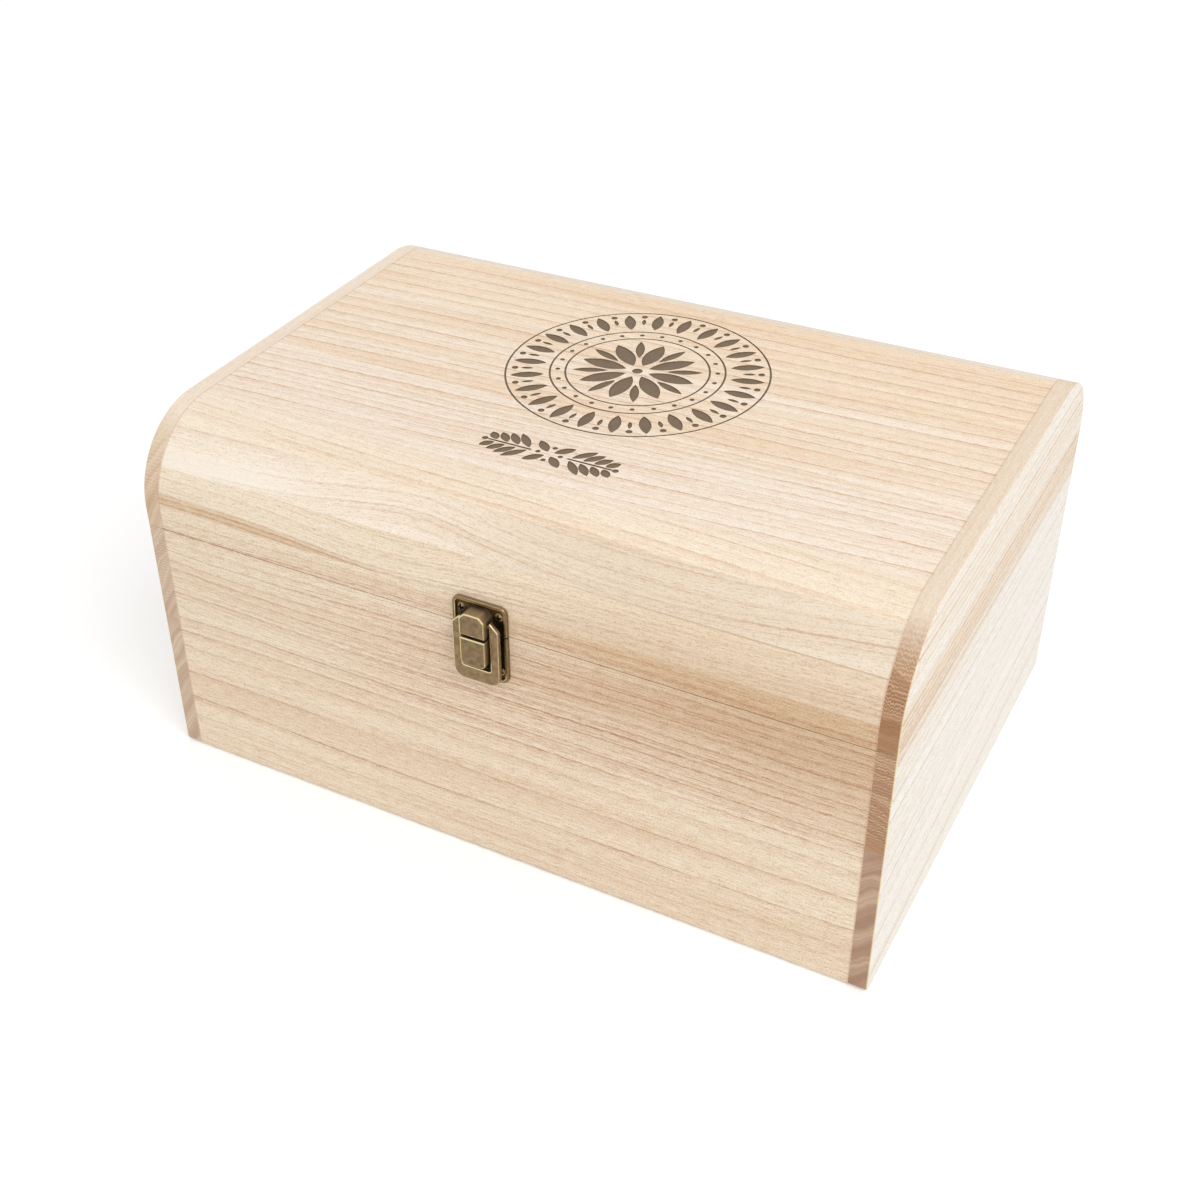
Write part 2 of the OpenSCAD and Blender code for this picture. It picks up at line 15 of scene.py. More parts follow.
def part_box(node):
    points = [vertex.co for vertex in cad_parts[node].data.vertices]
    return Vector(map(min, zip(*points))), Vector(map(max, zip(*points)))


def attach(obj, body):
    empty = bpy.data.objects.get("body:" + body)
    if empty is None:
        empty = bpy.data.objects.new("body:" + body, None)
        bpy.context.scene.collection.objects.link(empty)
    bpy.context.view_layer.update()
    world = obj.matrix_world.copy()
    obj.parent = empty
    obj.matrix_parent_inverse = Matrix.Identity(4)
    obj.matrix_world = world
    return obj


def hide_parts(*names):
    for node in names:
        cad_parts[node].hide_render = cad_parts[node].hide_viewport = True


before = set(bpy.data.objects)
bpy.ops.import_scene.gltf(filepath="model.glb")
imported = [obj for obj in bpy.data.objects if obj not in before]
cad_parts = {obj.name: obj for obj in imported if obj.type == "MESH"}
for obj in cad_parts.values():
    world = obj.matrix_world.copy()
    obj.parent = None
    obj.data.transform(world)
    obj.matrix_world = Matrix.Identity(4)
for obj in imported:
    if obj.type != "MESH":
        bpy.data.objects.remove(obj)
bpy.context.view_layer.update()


# The base's front panel and the lid's front rail: one glued-up board of pale, light wood.
# The box is made closed and then sawn, so the grain runs on across the saw cut.
# The wood is bare, planed and sanded.
class Number:
    """A number that changes over a surface. Arithmetic on it adds the Math nodes for it."""

    def __init__(self, finish, socket):
        self.finish, self.socket = finish, socket

    def worked(self, operation, *values, clamp=False):
        settings = {"operation": operation, "use_clamp": clamp}
        return self.finish.number("ShaderNodeMath", settings, values)

    def __add__(self, other):
        return self.worked("ADD", self, other)

    def __sub__(self, other):
        return self.worked("SUBTRACT", self, other)

    def __rsub__(self, other):
        return self.worked("SUBTRACT", other, self)

    def __mul__(self, other):
        return self.worked("MULTIPLY", self, other)

    def __truediv__(self, other):
        return self.worked("DIVIDE", self, other)

    def __rtruediv__(self, other):
        return self.worked("DIVIDE", other, self)

    def __pow__(self, other):
        return self.worked("POWER", self, other)

    def __abs__(self):
        return self.worked("ABSOLUTE", self)

    __radd__ = __add__
    __rmul__ = __mul__

    def least(self, other):
        return self.worked("MINIMUM", self, other)

    def most(self, other):
        return self.worked("MAXIMUM", self, other)

    def limited(self):
        return self.worked("ADD", self, 0.0, clamp=True)

    def rise(self, start, end):
        """0 below start, 1 above end, and an S-shaped rise between. Start may be the higher
        of the two: then it is 0 above start and 1 below end."""
        settings = {"interpolation_type": "SMOOTHSTEP", "clamp": True}
        return self.finish.number("ShaderNodeMapRange", settings, [self, start, end, 0.0, 1.0])


class Finish:
    """A material with one Principled shader, and the method that adds a node to it."""

    def __init__(self, name, **constants):
        self.material = bpy.data.materials.new(name)
        self.material.use_nodes = True
        self.tree = self.material.node_tree
        self.shader = self.tree.nodes["Principled BSDF"]
        for socket, value in constants.items():
            self.shader.inputs[socket.replace("_", " ")].default_value = value

    def node(self, kind, settings=None, values=(), output=0):
        """Adds a node: its settings first, then the values or links of its sockets."""
        made = self.tree.nodes.new(kind)
        for key, value in (settings or {}).items():
            if key == "stops":
                while len(made.color_ramp.elements) < len(value):
                    made.color_ramp.elements.new(1.0)
                for element, (position, shade) in zip(made.color_ramp.elements, value):
                    element.position = position
                    element.color = shade if isinstance(shade, tuple) else (shade,) * 3 + (1,)
            else:
                setattr(made, key, value)
        named = values.items() if isinstance(values, dict) else enumerate(values)
        for key, value in named:
            if isinstance(value, Number):
                value = value.socket
            if isinstance(value, bpy.types.NodeSocket):
                self.tree.links.new(value, made.inputs[key])
            else:
                made.inputs[key].default_value = value
        return made.outputs[output]

    def number(self, *node):
        return Number(self, self.node(*node))

    def place(self, origin=(0.0, 0.0, 0.0)):
        """Millimetres along X, Y and Z from an origin given in metres."""
        points = self.node("ShaderNodeTexCoord", output="Object")
        values = {"Vector": points, "Location": tuple(-1000 * c for c in origin)}
        values["Scale"] = (1000.0, 1000.0, 1000.0)
        return self.split(self.node("ShaderNodeMapping", {}, values))

    def facing(self):
        """The parts of the surface's own direction along X, Y and Z."""
        return self.split(self.node("ShaderNodeTexCoord", output="Normal"))

    def split(self, vector):
        return [
            Number(self, self.node("ShaderNodeSeparateXYZ", {}, [vector], axis))
            for axis in range(3)
        ]

    def noise(self, *spot, detail=2.0):
        """Cloudy noise about 0.5 at a spot, given as up to three numbers."""
        spot = self.node("ShaderNodeCombineXYZ", {}, spot)
        values = {"Vector": spot, "Scale": 1.0, "Detail": detail}
        return self.number("ShaderNodeTexNoise", {}, values)

    def blend(self, amount, first, second, how="MIX"):
        """The first colour, changed towards the second by an amount."""
        settings = {"data_type": "RGBA", "blend_type": how, "clamp_factor": True}
        return self.node("ShaderNodeMix", settings, {0: amount, 6: first, 7: second}, 2)

    def bumps(self, height, size):
        """Raises the surface by a height of 0 to 1, times a size in metres."""
        values = {"Height": height, "Strength": 1.0, "Distance": size}
        self.set("Normal", self.node("ShaderNodeBump", {}, values))

    def set(self, socket, value):
        value = value.socket if isinstance(value, Number) else value
        self.tree.links.new(value, self.shader.inputs[socket])

    def give(self, *nodes):
        """Puts the material on CAD nodes or pieces."""
        for name in nodes:
            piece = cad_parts[name] if isinstance(name, str) else name
            piece.data.materials.clear()
            piece.data.materials.append(self.material)


def paint(red, green, blue):
    """A colour as a screen shows it, from 0 to 255, as the linear colour a shader takes."""
    return tuple(
        c / 12.92 if c <= 0.04045 else ((c + 0.055) / 1.055) ** 2.4
        for c in (red / 255, green / 255, blue / 255)
    ) + (1.0,)


# Places in metres. In millimetres: the depth and height, the radius and the lower end of
# the lid's rounds, and how far from the middle the boards end at the side panels.
front_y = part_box("base_front_panel")[0].y
back_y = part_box("base_back_panel")[1].y
box_deep = (back_y - front_y) * 1000
box_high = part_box("lid_top_middle_board")[1].z * 1000
round_mm = 40.0
round_low = box_high - round_mm
panel_end = 166.8


def girth(y, z):
    """Distance up the front, over the lid and down the back, along the surface.
    It is the height on the front, plus radius times angle on each round, plus the way
    along the flat top; on the back the height counts downwards."""
    up = (z - round_low).most(0.001)
    ahead = (round_mm - y).most(0.0)
    behind = (y - (box_deep - round_mm)).most(0.0)
    flat = (y - round_mm).most(0.0).least(box_deep - 2 * round_mm)
    turn = 1 - 2 * y.worked("GREATER_THAN", y, box_deep / 2)
    straight = (z.least(round_low) - round_low) * turn + round_low
    front_turn = up.worked("ARCTAN2", up, ahead)
    back_turn = behind.worked("ARCTAN2", behind, up)
    return straight + flat + round_mm * (front_turn + back_turn)


def growth_lines(finish, across, marks, before):
    """A mask of thin growth lines: each mark is a place across the grain and a strength.
    The wood darkens from a distance before a line, is darkest on it and clears soon after.
    One ramp holds the stops of seven lines."""
    total = 0.0
    marks = sorted(marks)
    for part in range(0, len(marks), 7):
        some = marks[part : part + 7]
        low, high = some[0][0] - 6, some[-1][0] + 6
        stops = []
        for spot, strength in some:
            stops += [(spot - before, 0.0), (spot - 0.55, 0.3 * strength)]
            stops += [(spot - 0.1, strength), (spot + 0.55, 0.0)]
        # Where two lines lie close, a stop that would run backwards is set just after.
        for i in range(1, len(stops)):
            if stops[i][0] < stops[i - 1][0]:
                stops[i] = (stops[i - 1][0] + 0.01, stops[i][1])
        stops = [((spot - low) / (high - low), shade) for spot, shade in stops]
        level = (across - low) / (high - low)
        total = finish.number("ShaderNodeValToRGB", {"stops": stops}, [level]) + total
    return total


def planed_wood(
        finish, along, across, seed, ground, warm, line, marks, fine, stray=1.0, grain=1.0,
        before=5.0, shown=1.0):
    """Colour of a planed face: a ground with warm clouds drawn out along the grain, growth
    lines that wander and break up, fine lines between them, pores, fibres and a fine tooth.
    Fine says how strong the fine lines are, stray how far the growth lines wander, before
    how far ahead of them the wood darkens, shown how strong they are, and grain how rough
    the face is."""
    wander = finish.noise(along / 210, across / 60, seed, detail=1) - 0.5
    ripple = finish.noise(along / 38, across / 16, seed + 3.0, detail=2) - 0.5
    jitter = finish.noise(along / 2.6, across / 3, seed + 7.0, detail=2) - 0.5
    level = across + stray * (wander * 8 + ripple * 1.5) + jitter
    clouds = finish.noise(along / 320, level / 17, seed + 11.0, detail=2)
    fading = finish.noise(along / 55, level / 6, seed + 13.0, detail=1).rise(0.3, 0.62)
    broken = finish.noise(along / 4.5, level / 1.1, seed + 15.0, detail=1).rise(0.3, 0.6)
    lines = growth_lines(finish, level, marks, before) * shown
    lines = lines * (fading * 0.6 + 0.4) * (broken * 0.45 + 0.55)
    thread = abs(finish.noise(along / 700, level / 1.9, seed + 17.0, detail=1) - 0.5)
    threads = thread.rise(0.038, 0.0) * fine * (broken * 0.7 + 0.3)
    fibre = finish.noise(along / 7, across / 0.6, seed + 19.0, detail=3)
    pores = finish.noise(along / 2.4, across / 0.5, seed + 23.0, detail=1).rise(0.58, 0.7)
    tooth = finish.noise(along / 0.8, across / 0.5, seed + 29.0, detail=1)
    colour = finish.blend(clouds.rise(0.34, 0.7), ground, warm)
    colour = finish.blend((threads * 0.85).limited(), colour, line)
    colour = finish.blend((lines * 1.25).limited(), colour, line)
    colour = finish.blend(pores * (lines * 0.5 + 0.32), colour, line)
    rough = ((fibre - 0.5) * 1.5 + (tooth - 0.5) * 1.5) * grain
    colour = finish.blend((rough + 0.04).limited(), colour, line)
    colour = finish.blend((-0.7 * rough).limited(), colour, paint(255, 248, 236))
    finish.bumps(fibre * 0.5 - lines * 0.3 - pores * 0.6 + tooth * 0.2, 0.00006)
    finish.set("Roughness", 0.62 + (fibre - 0.5) * 0.2)
    return colour


def seam_shade(finish, along, colour):
    """Darkens a board a little where its ends meet the side panels."""
    edge = abs(along).rise(panel_end - 1.1, panel_end - 0.1)
    return finish.blend(edge * 0.4, colour, paint(186, 142, 118))


# The lines rise a little to the right, and 0.8 y carries them through the wood's thickness.
front_wood = Finish("front_wood", Roughness=0.62, Specular_IOR_Level=0.28)
x, y, z = front_wood.place((0.0, front_y, 0.0))
across = girth(y, z) - 0.006 * x + 0.8 * y
dense = across.rise(66, 84) * across.rise(136, 122) * (x.rise(-150, 60) * 0.2 + 0.43) + 0.25
front_colour = planed_wood(
    front_wood, x, across, 1.0, paint(241, 225, 200), paint(233, 212, 184),
    paint(184, 132, 92),
    [(6, 0.3), (12, 0.4), (19, 0.25), (29.5, 0.9), (45.5, 0.6), (62, 0.7), (71.5, 0.8),
     (79, 0.9), (88, 0.5), (93, 0.8), (96, 0.6), (101, 0.45), (106, 0.8), (110.5, 0.6),
     (116, 0.5), (121, 0.5), (128, 0.5), (133, 0.4)],
    dense)
# The upper front is multiplied darker towards the right and made paler towards the left:
# painted shade and painted light across the face.
right_painted_shade = x.rise(-60, 130) * across.rise(66, 112)
front_colour = front_wood.blend(right_painted_shade, front_colour, paint(235, 223, 211), "MULTIPLY")
left_painted_light = x.rise(-30, -110) * across.rise(64, 84) * across.rise(122, 112)
front_colour = front_wood.blend(left_painted_light * 0.13, front_colour, paint(255, 250, 232))
golden = x.rise(-20, 60) * across.rise(122, 129) * across.rise(142, 132)
front_colour = front_wood.blend(golden * 0.5, front_colour, paint(252, 246, 232), "MULTIPLY")
front_wood.set("Base Color", seam_shade(front_wood, x, front_colour))
front_wood.give("base_front_panel", "lid_front_rail")


# The rounded front of the lid: two staves glued edge to edge and planed to the round.
# Cutting through the rings at a slant gives them arched figures, and each is another board.
def arched(along, middle, height, reach):
    """How far a figure's lines climb towards its middle: height / (1 + (distance/reach)^2)."""
    distance = (along - middle) / reach
    return height / (1 + distance * distance)


lower_stave = Finish("lower_stave_wood", Roughness=0.6, Specular_IOR_Level=0.28)
x, y, z = lower_stave.place((0.0, front_y, 0.0))
across = girth(y, z) + arched(x, -55, 5.5, 50) - arched(x, 175, 4, 60)
stave_colour = planed_wood(
    lower_stave, x, across, 4.0, paint(243, 228, 204), paint(234, 214, 186),
    paint(178, 130, 90),
    [(139.8, 0.4), (142.2, 0.6), (144.2, 0.4), (147.0, 0.2), (151.5, 0.2), (158, 0.2)],
    0.3, stray=0.6, grain=0.6, shown=1 - x.rise(0, 60) * 0.7)
brown_band = across.rise(137.0, 140.5) * across.rise(146.5, 143.0) * x.rise(-20, -100)
stave_colour = lower_stave.blend(
    brown_band * 0.6, stave_colour, paint(228, 207, 182), "MULTIPLY")
# Towards the right the stave is multiplied darker, less so near its top: a painted shade.
right_painted_shade = x.rise(-30, 70) * (1 - across.rise(145, 154) * 0.7)
stave_colour = lower_stave.blend(right_painted_shade, stave_colour, paint(243, 236, 230), "MULTIPLY")
stave_joint = girth(y, z).rise(155.0, 155.8) * x.rise(10, 90)
stave_colour = lower_stave.blend(stave_joint * 0.5, stave_colour, paint(176, 142, 112))
lower_stave.set("Base Color", seam_shade(lower_stave, x, stave_colour))
lower_stave.give("lid_front_lower_stave")

upper_stave = Finish("upper_stave_wood", Roughness=0.6, Specular_IOR_Level=0.28)
x, y, z = upper_stave.place((0.0, front_y, 0.0))
across = girth(y, z) - arched(x, -40, 13, 50) - arched(x, 185, 14, 70)
stave_colour = planed_wood(
    upper_stave, x, across, 8.0, paint(248, 236, 218), paint(240, 223, 200),
    paint(194, 150, 112),
    [(151.0, 0.35), (153.5, 0.6), (160.0, 0.2), (167.5, 0.3), (172.5, 0.45)],
    0.3, stray=0.6, grain=0.6)
# A pale patch on the stave's left is a painted highlight, and towards the right the stave is
# multiplied greyer, a painted shade.
painted_highlight_patch = x.rise(-70, -125) * across.rise(151.5, 154.5) * across.rise(166, 158)
stave_colour = upper_stave.blend(painted_highlight_patch * 0.5, stave_colour, paint(254, 248, 236))
greyer_painted_shade = x.rise(-70, 60)
stave_colour = upper_stave.blend(greyer_painted_shade, stave_colour, paint(243, 240, 236), "MULTIPLY")
upper_stave.set("Base Color", seam_shade(upper_stave, x, stave_colour))
upper_stave.give("lid_front_upper_stave")


# The lid's top: three boards with brown growth lines, glued edge to edge, whiter in front
# and warmer behind. The rosette and the border are burnt in by laser, 0.4 mm deep, which
# leaves a dull grey-brown ground with fine scan lines.
def engraved(finish, x, y, z, colour):
    """Colours what lies up to a millimetre below the flat top: the sunk ground and its
    walls. The rounds, which are as low in places, lie outside the flat's two ends."""
    below = box_high - z
    sunk = below.rise(0.05, 0.12) * below.rise(1.2, 0.9)
    flat_end = round_mm + 3
    sunk = sunk * y.rise(flat_end, flat_end + 2)
    sunk = sunk * y.rise(box_deep - flat_end, box_deep - flat_end - 2)
    scan = (finish.noise(x / 0.35, y / 6, 2.0, detail=1) - 0.5) * 0.9 + 0.5
    clouds = finish.noise(x / 7, y / 7, 5.0, detail=3)
    burnt = finish.blend(scan.limited(), paint(102, 84, 66), paint(138, 118, 95))
    burnt = finish.blend(clouds.rise(0.45, 0.7) * 0.5, burnt, paint(116, 94, 74))
    return finish.blend(sunk, colour, burnt)


top_front_marks = [
    (191.0, 0.4), (197.5, 0.8), (204.0, 0.35), (208.5, 0.3), (213.0, 0.9), (218.5, 0.5),
    (224.0, 0.85), (228.8, 0.7), (233.0, 0.4), (237.5, 0.9), (243.0, 0.45), (249.0, 0.8),
    (255.0, 0.5)]
top_rear_marks = [
    (257.5, 0.9), (262.0, 0.6), (267.5, 0.8), (273.0, 0.7), (279.5, 0.9), (287.0, 0.8),
    (292.0, 0.5), (299.0, 0.9), (307.0, 0.8), (315.5, 0.85), (322.0, 0.5), (330.0, 0.9),
    (339.0, 0.8), (347.5, 0.6), (355.5, 0.9), (364.0, 0.7)]
# Each top board: its seed, growth lines, ground and warm colours, and how far they slant.
top_boards = [
    ("lid_top_front_board", 12.0, top_front_marks, (249, 238, 223), (245, 230, 210), 0.0432),
    ("lid_top_middle_board", 14.0, top_rear_marks, (248, 235, 217), (243, 223, 197), 0.0336),
    ("lid_top_rear_board", 14.0, top_rear_marks, (248, 232, 210), (243, 220, 191), 0.0192)]
top_line = paint(203, 154, 108)
for board, seed, marks, ground, warm, slant in top_boards:
    top_wood = Finish(board + "_wood", Roughness=0.6, Specular_IOR_Level=0.28)
    x, y, z = top_wood.place((0.0, front_y, 0.0))
    along_lid = girth(y, z)
    if board == "lid_top_front_board":
        # On the round, this board's grain slants the other way.
        round_colour = planed_wood(
            top_wood, x, along_lid + 0.033 * x, seed + 4.0, paint(248, 236, 217),
            paint(243, 227, 203), top_line,
            [(179.5, 0.35), (184.8, 0.6), (189.5, 0.25), (194.8, 0.55), (200.5, 0.4)], 0.3,
            stray=0.6, grain=0.7)
    top_colour = planed_wood(
        top_wood, x, along_lid - slant * x, seed, paint(*ground), paint(*warm), top_line,
        marks, 0.4, grain=0.8)
    if board == "lid_top_front_board":
        on_round = along_lid.rise(198.4, 197.6)
        top_colour = top_wood.blend(on_round, top_colour, round_colour)
    top_colour = seam_shade(top_wood, x, top_colour)
    top_wood.set("Base Color", engraved(top_wood, x, y, z, top_colour))
    top_wood.give(board)


# The base's back panel and the lid's back rail: one glued-up board like the front's, sawn
# through in the same cut. It is a plainer piece of the same wood.
back_wood = Finish("back_wood", Roughness=0.62, Specular_IOR_Level=0.28)
x, y, z = back_wood.place((0.0, front_y, 0.0))
across = z + 0.008 * x + 0.8 * (box_deep - y)
back_colour = planed_wood(
    back_wood, x, across, 21.0, paint(233, 215, 188), paint(224, 200, 169),
    paint(186, 142, 100),
    [(9, 0.5), (17, 0.8), (26, 0.6), (37, 0.9), (46, 0.5), (58, 0.7), (69, 0.8), (81, 0.7),
     (90, 0.9), (98, 0.5), (109, 0.8), (117, 0.6), (125, 0.5), (133, 0.7)],
    0.5)
back_wood.set("Base Color", seam_shade(back_wood, x, back_colour))
back_wood.give("base_back_panel", "lid_back_rail")


# The rounded back of the lid: two staves glued and planed to the round like the front's.
# Its pale, bluish-white ground towards the top is a painted highlight along the round, over
# close fine lines.
back_stave = Finish("back_stave_wood", Roughness=0.6, Specular_IOR_Level=0.28)
x, y, z = back_stave.place((0.0, front_y, 0.0))
across = girth(y, z) + 0.01 * x
stave_colour = planed_wood(
    back_stave, x, across, 27.0, paint(245, 236, 224), paint(240, 228, 211),
    paint(200, 168, 142),
    [(371, 0.5), (377, 0.6), (384, 0.4), (392, 0.6), (401, 0.5), (412, 0.6)], 0.5, stray=0.6)
# Lower down, away from the painted highlight, the stave is multiplied warmer.
below_painted_highlight = across.rise(378, 402)
stave_colour = back_stave.blend(below_painted_highlight, stave_colour, paint(249, 238, 218), "MULTIPLY")
back_stave.set("Base Color", seam_shade(back_stave, x, stave_colour))
back_stave.give("lid_back_upper_stave", "lid_back_lower_stave")


# The bottom panel: a thin pale board that sits loose in grooves in the four walls, so that
# it can swell and shrink. It isn't glued.
bottom_wood = Finish("bottom_panel_wood", Roughness=0.66, Specular_IOR_Level=0.25)
x, y, _ = bottom_wood.place((0.0, front_y, 0.0))
bottom_colour = planed_wood(
    bottom_wood, x, y, 31.0, paint(237, 222, 198), paint(228, 208, 180), paint(196, 156, 116),
    [(30, 0.5), (55, 0.6), (84, 0.5), (118, 0.7), (150, 0.5), (190, 0.6), (222, 0.5)], 0.4)
bottom_wood.set("Base Color", bottom_colour)
bottom_wood.give("base_bottom_panel")


# The side panels: each glued up from a lower and an upper board, with the grain from front
# to back. Their front edges show end grain, which soaks up the light and looks brown; the
# outer edges are eased by hand, and the thin bright line along them is a painted highlight.
def end_grain(finish, x, z, seed, ground, deep, line, tilt):
    """Colour of an end: rings that cross the panel's thickness at a slant, and over them,
    above the lower board, a figure of close zigzag rays: sin(4.4 z + 12 noise(x, z))."""
    bend = finish.noise(x / 14, z / 22, seed) - 0.5
    rings = z + tilt * (abs(x) - 171) + bend * 12
    band = finish.noise(rings / 9, seed + 2.0, detail=2)
    zigzag = finish.noise(x / 0.9, z / 4, seed + 5.0, detail=1)
    phase = z * 4.4 + zigzag * 12
    ray = phase.worked("SINE", phase, 0.0).rise(-0.2, 0.95)
    figured = z.rise(78, 88) * (1 - z.rise(122, 127) * z.rise(146, 138))
    ring = abs(finish.noise(rings / 5, seed + 9.0, detail=1) - 0.5).rise(0.035, 0.0)
    tooth = finish.noise(x / 0.6, z / 0.5, seed + 12.0, detail=1)
    colour = finish.blend(band.rise(0.36, 0.64), ground, deep)
    colour = finish.blend(ray * (figured * 0.55 + 0.1), colour, line)
    colour = finish.blend(ring * 0.55, colour, deep)
    # The lower board ends in dark rings at the joint, 75 mm up.
    colour = finish.blend(z.rise(69, 74.5) * z.rise(76.5, 75.5) * 0.5, colour, deep)
    return finish.blend(((tooth - 0.5) * 1.4).limited(), colour, deep)


side_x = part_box("base_right_lower_board")[1].x * 1000

# Each side board: its seed, the ground, warm and line colours and the growth lines of its
# face, the ground, deep and line colours of its end, and how far its rings tilt.
side_boards = [
    ("base_right_lower_board", 41.0, (242, 239, 233), (239, 233, 224), (188, 160, 134),
     [(8, 0.8), (10.5, 0.5), (21, 0.3), (29.3, 0.8), (44, 0.3), (55, 0.8), (60, 0.3),
      (65.7, 0.7), (75, 0.6)],
     (198, 169, 144), (166, 131, 107), (216, 192, 168), -0.7),
    ("base_right_upper_board", 43.0, (242, 239, 233), (239, 232, 222), (186, 154, 122),
     [(86, 0.3), (92.3, 0.8), (103.3, 0.7), (109, 0.3), (114, 0.35), (122.3, 0.5)],
     (184, 144, 111), (160, 116, 84), (222, 196, 166), 0.3),
    ("lid_right_side", 43.0, (242, 238, 231), (238, 229, 216), (192, 152, 106),
     [(124.2, 0.5), (127.7, 0.6), (130.6, 0.5), (134.3, 0.7), (137.5, 0.6), (141, 0.8),
      (144.6, 0.4), (151.0, 0.4), (155.0, 0.5),
      (158.5, 0.4), (162.5, 0.9), (167.0, 0.3), (171.0, 0.6)],
     (182, 140, 104), (156, 112, 78), (218, 188, 156), 0.3),
    ("base_left_lower_board", 51.0, (243, 235, 223), (238, 226, 208), (206, 176, 148),
     [(8, 0.5), (19, 0.4), (33, 0.7), (47, 0.5), (58, 0.6), (69, 0.4)],
     (218, 196, 173), (192, 163, 138), (230, 212, 190), 1.6),
    ("base_left_upper_board", 53.0, (243, 235, 223), (238, 225, 207), (206, 176, 148),
     [(82, 0.5), (90, 0.6), (101, 0.4), (108, 0.7), (119, 0.5)],
     (218, 195, 171), (190, 160, 134), (232, 214, 192), 1.6),
    ("lid_left_side", 53.0, (242, 233, 220), (238, 224, 205), (206, 176, 148),
     [(128, 0.5), (136, 0.6), (143, 0.7), (151, 0.5), (160, 0.6), (168, 0.4)],
     (222, 198, 170), (200, 170, 138), (232, 212, 186), 1.6)]
for (board, seed, ground, warm, line, marks, end_ground, end_deep, end_line,
        tilt) in side_boards:
    side_wood = Finish(board + "_wood", Roughness=0.6, Specular_IOR_Level=0.28)
    x, y, z = side_wood.place((0.0, front_y, 0.0))
    face_x, face_y, _ = side_wood.facing()
    # Towards the back, the lines climb low down and fall higher up.
    fan = z.rise(60, 105) * 19 - 13
    across = z + fan * (y / box_deep) + tilt * (abs(x) - side_x)
    peach = across.rise(117, 122) * across.rise(150, 140)
    side_colour = planed_wood(
        side_wood, y, across, seed, paint(*ground), paint(*warm), paint(*line), marks,
        peach * 0.4 + 0.25, stray=0.5, before=1.6)
    side_colour = side_wood.blend(peach, side_colour, paint(249, 241, 231), "MULTIPLY")
    # Its edges show the board's thickness, cut along the grain.
    edge_colour = planed_wood(
        side_wood, y, abs(x) * 2.4 + z * 0.15, seed + 1, paint(247, 233, 216),
        paint(242, 224, 203), paint(208, 170, 138), [(414, 0.3), (431, 0.25), (441, 0.3)], 0.1)
    edge_colour = side_wood.blend(x.rise(-9, 9), edge_colour, paint(246, 243, 237), "MULTIPLY")
    side_colour = side_wood.blend(abs(face_x).rise(0.75, 0.55), side_colour, edge_colour)
    ends = end_grain(
        side_wood, x, z, seed, paint(*end_ground), paint(*end_deep), paint(*end_line), tilt)
    cut_across = abs(face_y).rise(0.24, 0.94)
    side_colour = side_wood.blend(cut_across, side_colour, ends)
    # A thin pale-yellow line where the face turns into the front edge: a painted highlight.
    painted_edge_highlight = (abs(face_x) * abs(face_y) * 2.4 - 0.5).limited()
    side_colour = side_wood.blend(painted_edge_highlight * 0.8, side_colour, paint(250, 238, 190))
    side_wood.set("Base Color", side_colour)
    side_wood.give(board)


# The clasp: pressed and cast pieces with an antique bronze plating, dark olive-brown in the
# hollows and rubbed through to bright brass along the edges; where edges face up the brass
# is brighter still, a painted highlight.
# Each is a face outline carried outwards through a rounded edge.
clasp_x, lid_line = -0.0009, 0.1252


def rounded(corners, radii, inset=0.0, steps=6):
    """Points of a closed outline, moved inwards by an inset, whose corners are arcs. An
    arc's middle lies on the corner's bisector, at radius / sin(half the corner's angle),
    and the arc turns by what the outline turns there."""
    corners = np.array(corners, float)
    points = []
    for i, radius in enumerate(radii):
        to_last = corners[i - 1] - corners[i]
        to_next = corners[(i + 1) % len(corners)] - corners[i]
        to_last /= np.linalg.norm(to_last)
        to_next /= np.linalg.norm(to_next)
        outer = to_last[1] * to_next[0] - to_last[0] * to_next[1] > 0
        side = 1 if outer else -1
        half = math.acos(np.clip(to_last @ to_next, -1, 1)) / 2
        bisector = (to_last + to_next) / np.linalg.norm(to_last + to_next)
        radius = max(radius - side * inset, 0.02)
        middle = corners[i] + bisector * (radius + side * inset) / math.sin(half)
        first = math.atan2(to_last[0] * side, -to_last[1] * side)
        turn = first + np.linspace(0, 1, steps + 1) * (math.pi - 2 * half) * side
        points.append(middle + radius * np.stack([np.cos(turn), np.sin(turn)], 1))
    return np.concatenate(points)


def metal_piece(name, verts, faces, worn, body, node, finish):
    """A mesh from points in metres, with how far each point is rubbed bright. It rides on
    a body in the place of a CAD node."""
    mesh = bpy.data.meshes.new(name)
    mesh.from_pydata(verts, [], faces)
    attribute = mesh.attributes.new("worn", "FLOAT", "POINT")
    attribute.data.foreach_set("value", np.asarray(worn, np.float32))
    built = bmesh.new()
    built.from_mesh(mesh)
    bmesh.ops.remove_doubles(built, verts=built.verts, dist=1e-6)
    bmesh.ops.recalc_face_normals(built, faces=built.faces)
    built.to_mesh(mesh)
    built.free()
    mesh.shade_smooth()
    mesh.set_sharp_from_angle(angle=math.radians(40))
    piece = bpy.data.objects.new(name, mesh)
    bpy.context.scene.collection.objects.link(piece)
    finish.give(piece)
    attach(piece, body)
    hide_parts(node)


